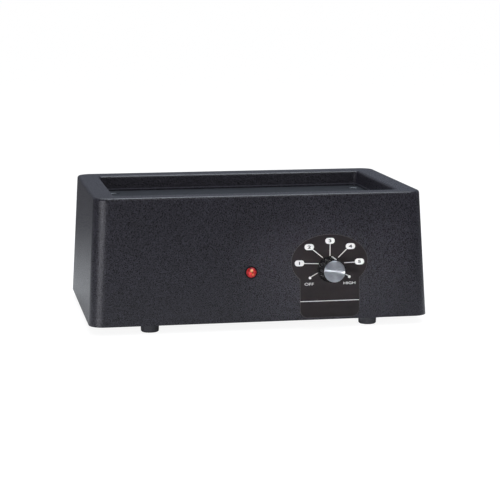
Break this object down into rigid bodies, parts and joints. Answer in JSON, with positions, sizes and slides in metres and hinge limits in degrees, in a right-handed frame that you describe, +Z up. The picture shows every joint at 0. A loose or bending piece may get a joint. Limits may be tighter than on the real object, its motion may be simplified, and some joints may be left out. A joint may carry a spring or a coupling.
{
  "type": "bench-top dry heat tray",
  "caption": "Tapered black plastic bench-top heater with a shallow heated metal tray in its top, a rotary heat control knob and a red pilot lamp on its front.",
  "frame": {"origin": "on the surface that the feet stand on, at the middle of the whole object's box (the knob sticks out at the front, so this is 9 mm in front of the middle of the housing's footprint)", "axes": "+Z up, front with knob and lamp towards -Y, +X to the right as seen from the front"},
  "size_m": [0.335, 0.239, 0.131],
  "materials": {
    "abs_housing": "satin",
    "abs_block": "matte",
    "zinc_sheet": "satin",
    "rubber_foot": "matte",
    "zinc_screw": "satin",
    "black_oxide_screw": "satin",
    "anodised_plate": "satin",
    "zinc_tube": "satin",
    "element_sheath": "matte",
    "element_pin": "satin",
    "galvanised_pan": "satin",
    "ceramic_wool": "matte",
    "copper_bulb": "satin",
    "dial_label": "satin",
    "phenolic_body": "matte",
    "brass_turned": "satin",
    "steel_shaft": "satin",
    "tinned_brass": "satin",
    "knob_phenolic": "gloss",
    "spun_aluminium": "satin",
    "pointer_paint": "satin",
    "lamp_lens_red": "gloss",
    "lamp_nylon": "satin",
    "spring_steel": "satin",
    "inlet_nylon": "satin",
    "nickel_pin": "satin",
    "ceramic_block": "satin",
    "lead_black": "satin",
    "lead_white": "satin",
    "lead_green": "satin"
  },
  "bodies": {
    "case": {"housing": "abs_housing", "corner_blocks": "abs_block", "base_plate": "zinc_sheet", "foot_front_left": "rubber_foot", "foot_back_left": "rubber_foot", "foot_front_right": "rubber_foot", "foot_back_right": "rubber_foot", "foot_screws": "zinc_screw", "heat_plate": "anodised_plate", "tie_screws": "black_oxide_screw", "tie_spacers": "zinc_tube", "tie_washers": "zinc_screw", "tie_nuts": "zinc_screw", "heating_element": "element_sheath", "element_pins": "element_pin", "element_straps": "zinc_sheet", "strap_studs": "zinc_screw", "strap_nuts": "zinc_screw", "shield_pan": "galvanised_pan", "insulation_blanket": "ceramic_wool", "sensing_bulb": "copper_bulb", "capillary_tube": "copper_bulb", "dial_plate": "dial_label", "control_body": "phenolic_body", "control_bushing": "brass_turned", "control_washer": "zinc_screw", "control_nut": "brass_turned", "control_tabs": "tinned_brass", "lamp_lens": "lamp_lens_red", "lamp_body": "lamp_nylon", "lamp_clip": "spring_steel", "lamp_tabs": "tinned_brass", "inlet_body": "inlet_nylon", "inlet_pins": "nickel_pin", "inlet_screws": "zinc_screw", "inlet_nuts": "zinc_screw", "terminal_block": "ceramic_block", "terminal_screws": "zinc_screw", "terminal_nuts": "zinc_screw", "earth_stud": "brass_turned", "earth_nut": "brass_turned", "lead_live": "lead_black", "lead_element": "lead_black", "lead_neutral": "lead_white", "lead_earth": "lead_green", "lamp_lead_a": "lead_black", "lamp_lead_b": "lead_white"},
    "knob": {"control_shaft": "steel_shaft", "knob_body": "knob_phenolic", "knob_cap": "spun_aluminium", "knob_pointer": "pointer_paint", "knob_grub_screw": "black_oxide_screw"}
  },
  "joints": [
    {"name": "knob_turn", "type": "hinge", "parent": "case", "child": "knob", "pos_m": [0.067, -0.10466, 0.0577], "axis": [0, -0.9981, 0.0609], "range_deg": [-105, 119]}
  ]
}
